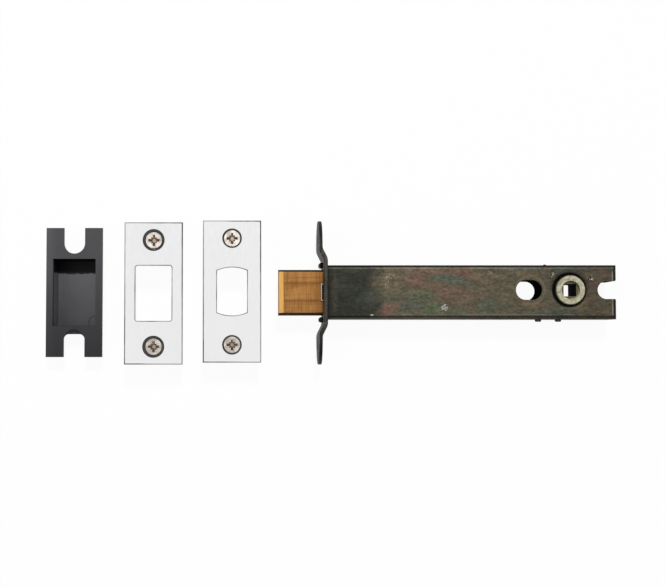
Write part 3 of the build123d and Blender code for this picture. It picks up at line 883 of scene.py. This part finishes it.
peenedFinish = {
    "low": (0.040, 0.034, 0.028),
    "high": (0.230, 0.212, 0.190),
    "reach": (1.6 * mm, 0.55 * mm, 1.6 * mm),
    "slant": 38.0,            # degrees
    "blows": (1.0, 3.0, 0.6),
    "blowStops": (0.42, 0.58),
    "relief": (0.5, 0.06 * mm),
    "metallic": 0.8,
    "roughness": 0.45,
}


def peenedSteel():
    cfg = peenedFinish
    material, tree, shader = newMaterial("peened steel")
    low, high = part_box("case_pillar")
    slanted = around(tree, tuple((low + high) / 2), cfg["reach"], math.radians(cfg["slant"]))
    blows = noise(tree, slanted, *cfg["blows"])
    base = shades(tree, blows, cfg["low"], cfg["high"], *cfg["blowStops"])
    dress(tree, shader, base, cfg["roughness"], cfg["metallic"])
    bump(tree, shader, blows, *cfg["relief"])
    return material


# Plain metals of the small pieces

rivetFinish = {
    "low": (0.012, 0.011, 0.010),
    "high": (0.035, 0.033, 0.030),
    "patches": (even, 500.0, 4.0, 0.6),
    "metallic": 0.7,
    "roughness": (0.40, 0.52),
    "relief": (0.2, 0.05 * mm),
}
tailFinish = {
    "low": (0.20, 0.20, 0.19),
    "high": (0.34, 0.34, 0.33),
    "patches": ((0.1, 1, 1), 400.0, 4.0, 0.6),
    "metallic": 0.95,
    "roughness": (0.35, 0.47),
    "relief": (0.2, 0.05 * mm),
}
springFinish = {
    "low": (0.16, 0.17, 0.20),
    "high": (0.30, 0.31, 0.36),
    "patches": (even, 300.0, 4.0, 0.6),
    "metallic": 0.95,
    "roughness": (0.28, 0.40),
    "relief": (0.2, 0.05 * mm),
}


def plainMetal(name, cfg):
    material, tree, shader = newMaterial(name)
    patches = pattern(tree, *cfg["patches"])
    base = shades(tree, patches, cfg["low"], cfg["high"])
    dress(tree, shader, base, gloss(tree, patches, *cfg["roughness"]), cfg["metallic"])
    bump(tree, shader, patches, *cfg["relief"])
    return material


materials = {
    "bronzed_steel": bronzedSteel(),
    "forend_steel": forendSteel(),
    "rivet_steel": plainMetal("rivet steel", rivetFinish),
    "bolt_brass": drawnBrass(),
    "plain_steel": plainMetal("plain steel", tailFinish),
    "spring_steel": plainMetal("spring steel", springFinish),
    "follower_zinc": passivatedZinc(),
    "polished_chrome": polishedChrome(),
    "screw_nickel": nickelPlate(),
    "black_plastic": mouldedPlastic(),
}
peened = peenedSteel()
for part in frame["record"]["subparts"]:
    mesh = nodes[part["node"]].data
    mesh.materials.clear()
    mesh.materials.append(peened if part["node"] == "case_pillar" else materials[part["material_slot"]])
print("materials set:", len(materials) + 1)


def addPiece(name, bm, slot):
    bmesh.ops.recalc_face_normals(bm, faces=bm.faces)
    mesh = bpy.data.meshes.new(name)
    bm.to_mesh(mesh)
    bm.free()
    piece = bpy.data.objects.new(name, mesh)
    bpy.context.scene.collection.objects.link(piece)
    mesh.materials.append(materials[slot])
    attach(piece, "lock")


# Thread of each screw: a ridge wound up the shank, which runs out at the point

threadCfg = {
    "core": 1.68 * mm,
    "rise": 0.42 * mm,
    "foot": 0.42 * mm,        # half the ridge's width where it meets the shank
    "crest": 0.07 * mm,       # half its width at the top
    "pitch": 1.6 * mm,
    "start": 0.9 * mm,        # above the point
    "pointLength": 4.5 * mm,
    "pointRise": 0.35,        # share of the rise that the ridge keeps at the very point
    "plainNeck": 5.0 * mm,    # shank without thread under the head
    "runOut": 0.3,            # turns past the neck's start until the ridge has sunk away
    "stepsPerTurn": 24,
    "mergeReach": 0.002 * mm,
}


def makeThread(screwName):
    cfg = threadCfg
    low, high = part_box(screwName)
    centre = Vector(((low.x + high.x) / 2, (low.y + high.y) / 2, 0))
    climb = high.z - low.z - cfg["start"] - cfg["plainNeck"]
    turns = climb / cfg["pitch"]
    steps = round(turns * cfg["stepsPerTurn"])
    bm = bmesh.new()
    section = [(cfg["core"], -cfg["foot"]), (cfg["core"] + cfg["rise"], -cfg["crest"]),
               (cfg["core"] + cfg["rise"], cfg["crest"]), (cfg["core"], cfg["foot"])]
    corners = [bm.verts.new((radius, 0, low.z + cfg["start"] + height)) for radius, height in section]
    face = bm.faces.new(corners)
    bmesh.ops.spin(bm, geom=[face, *face.edges, *corners], cent=(0, 0, 0), axis=(0, 0, 1),
                   dvec=(0, 0, climb / steps), angle=2 * math.pi * turns, steps=steps, use_duplicate=False)
    bmesh.ops.remove_doubles(bm, verts=bm.verts, dist=cfg["mergeReach"])
    for vert in bm.verts:      # the ridge follows the point inwards, and sinks away under the neck
        share = min(1.0, (vert.co.z - low.z) / cfg["pointLength"])
        radius = math.hypot(vert.co.x, vert.co.y)
        toEnd = (low.z + cfg["start"] + climb - vert.co.z) / cfg["pitch"]
        proud = max(0.0, radius - cfg["core"]) * min(1.0, max(0.0, toEnd + cfg["runOut"]))
        wanted = cfg["core"] * share + proud * min(1.0, cfg["pointRise"] + share)
        vert.co.x *= wanted / radius
        vert.co.y *= wanted / radius
    bmesh.ops.translate(bm, verts=bm.verts, vec=centre)
    addPiece(screwName.replace("screw", "thread"), bm, "screw_nickel")


for screwName in screwNodes:
    makeThread(screwName)
print("threads wound:", len(screwNodes))

# A small burr on the case's upper narrow side

burrCfg = {
    "x": -10.3 * mm,
    "height": 5.2 * mm,
    "reach": 0.75 * mm,
    "rise": 0.33 * mm,
    "segments": 16,
    "rings": 8,
}


def makeBurr():
    cfg = burrCfg
    bm = bmesh.new()
    bmesh.ops.create_uvsphere(bm, u_segments=cfg["segments"], v_segments=cfg["rings"], radius=1.0)
    bmesh.ops.scale(bm, verts=bm.verts, vec=(cfg["reach"], cfg["rise"], cfg["reach"]))
    bmesh.ops.translate(bm, verts=bm.verts, vec=(cfg["x"], caseHigh.y, cfg["height"]))
    addPiece("case_burr", bm, "bronzed_steel")


makeBurr()
print("burr added")

# Table, light and camera

stageCfg = {
    "floorReach": 3.0,
    "floorTone": 0.86,
    "floorRoughness": 0.9,
    "shadowShare": 0.05,
    "softShare": 0.26,        # how much of the sky's light reaches dull surfaces
    "sky": [(0.0, 0.14), (0.30, 0.40), (0.65, 0.88), (1.0, 0.93)],     # height and brightness
}


def directRay(tree):
    # 1 where the camera, a reflection or a clear piece looks straight at this
    path = addNode(tree, "ShaderNodeLightPath").outputs
    return larger(tree, path["Is Camera Ray"], path["Is Glossy Ray"], path["Is Transmission Ray"])


def makeFloor():
    cfg = stageCfg
    bm = bmesh.new()
    bmesh.ops.create_grid(bm, x_segments=1, y_segments=1, size=cfg["floorReach"])
    bmesh.ops.translate(bm, verts=bm.verts, vec=(0, 0, cadLow.z))
    mesh = bpy.data.meshes.new("floor")
    bm.to_mesh(mesh)
    bm.free()
    floor = bpy.data.objects.new("floor", mesh)
    bpy.context.scene.collection.objects.link(floor)
    material, tree, shader = newMaterial("pale floor")
    dress(tree, shader, grey(cfg["floorTone"]), cfg["floorRoughness"], 0.0)
    glow = addNode(tree, "ShaderNodeEmission", {"Color": (1, 1, 1, 1), "Strength": 1.0})
    blended = addNode(tree, "ShaderNodeMixShader")
    feed(tree, times(tree, directRay(tree), 1 - cfg["shadowShare"]), blended.inputs[0])
    tree.links.new(shader.outputs[0], blended.inputs[1])
    tree.links.new(glow.outputs[0], blended.inputs[2])
    tree.links.new(blended.outputs[0], tree.nodes["Material Output"].inputs["Surface"])
    mesh.materials.append(material)


def makeWorld():
    cfg = stageCfg
    world = bpy.data.worlds.new("studio")
    world.use_nodes = True
    bpy.context.scene.world = world
    tree = world.node_tree
    coords = addNode(tree, "ShaderNodeTexCoord")
    sky = ramp(tree, axes(tree, coords.outputs["Generated"])["Z"],
               [(height, grey(brightness)) for height, brightness in cfg["sky"]])
    path = addNode(tree, "ShaderNodeLightPath")
    colour = mixed(tree, path.outputs["Is Camera Ray"], sky, grey(1.0))
    strength = fade(tree, path.outputs["Is Diffuse Ray"], 0.0, 1.0, 1.0, cfg["softShare"])
    background = tree.nodes["Background"]
    feed(tree, colour, background.inputs["Color"])
    feed(tree, strength, background.inputs["Strength"])


lampCfg = {                   # metres from the middle of the picture, and watts
    "key": {"place": (0.05, 0.56, 1.25), "size": 0.12, "power": 13.0},
    "left": {"place": (-0.50, 0.02, 0.70), "size": 0.50, "power": 1.4},
}
photoCfg = {
    "width": 665,
    "height": 587,
    "mmPerPixel": 0.4247,
    "followerPixel": (568.95, 290.2),
    "sensorWidth": 36.0,
    "clipStart": 0.01,
    "distance": 0.48,         # metres, as the next lengths are
    "tilt": 2.3,              # degrees
    "stepLeft": 0.028,
    "aimHeight": 0.005,
}


def photoCentre():
    # Where the middle of the picture lies on the set
    cfg = photoCfg
    x = (cfg["width"] / 2 - cfg["followerPixel"][0]) * cfg["mmPerPixel"] * mm
    y = (cfg["followerPixel"][1] - cfg["height"] / 2) * cfg["mmPerPixel"] * mm
    return Vector((x, y, cfg["aimHeight"]))


def aimAt(thing, target):
    thing.rotation_euler = (target - thing.location).to_track_quat("-Z", "Y").to_euler()


def makeLamps():
    target = photoCentre()
    for name, cfg in lampCfg.items():
        data = bpy.data.lights.new(name, "AREA")
        data.size = cfg["size"]
        data.energy = cfg["power"]
        lamp = bpy.data.objects.new(name, data)
        lamp.location = target + Vector(cfg["place"])
        aimAt(lamp, target)
        bpy.context.scene.collection.objects.link(lamp)


def makeCamera():
    cfg = photoCfg
    data = bpy.data.cameras.new("camera")
    data.sensor_width = cfg["sensorWidth"]
    pictureWidth = cfg["width"] * cfg["mmPerPixel"] * mm
    data.lens = data.sensor_width * cfg["distance"] / pictureWidth
    data.shift_x = cfg["stepLeft"] / pictureWidth
    data.clip_start = cfg["clipStart"]
    camera = bpy.data.objects.new("camera", data)
    aside = photoCentre() - Vector((cfg["stepLeft"], 0, 0))
    tilt = math.radians(cfg["tilt"])
    camera.location = aside + cfg["distance"] * Vector((0, -math.sin(tilt), math.cos(tilt)))
    aimAt(camera, aside)
    bpy.context.scene.collection.objects.link(camera)
    bpy.context.scene.camera = camera


makeFloor()
makeWorld()
makeLamps()
makeCamera()
bpy.context.scene.view_settings.view_transform = "Standard"
print("table, lamps and camera set")
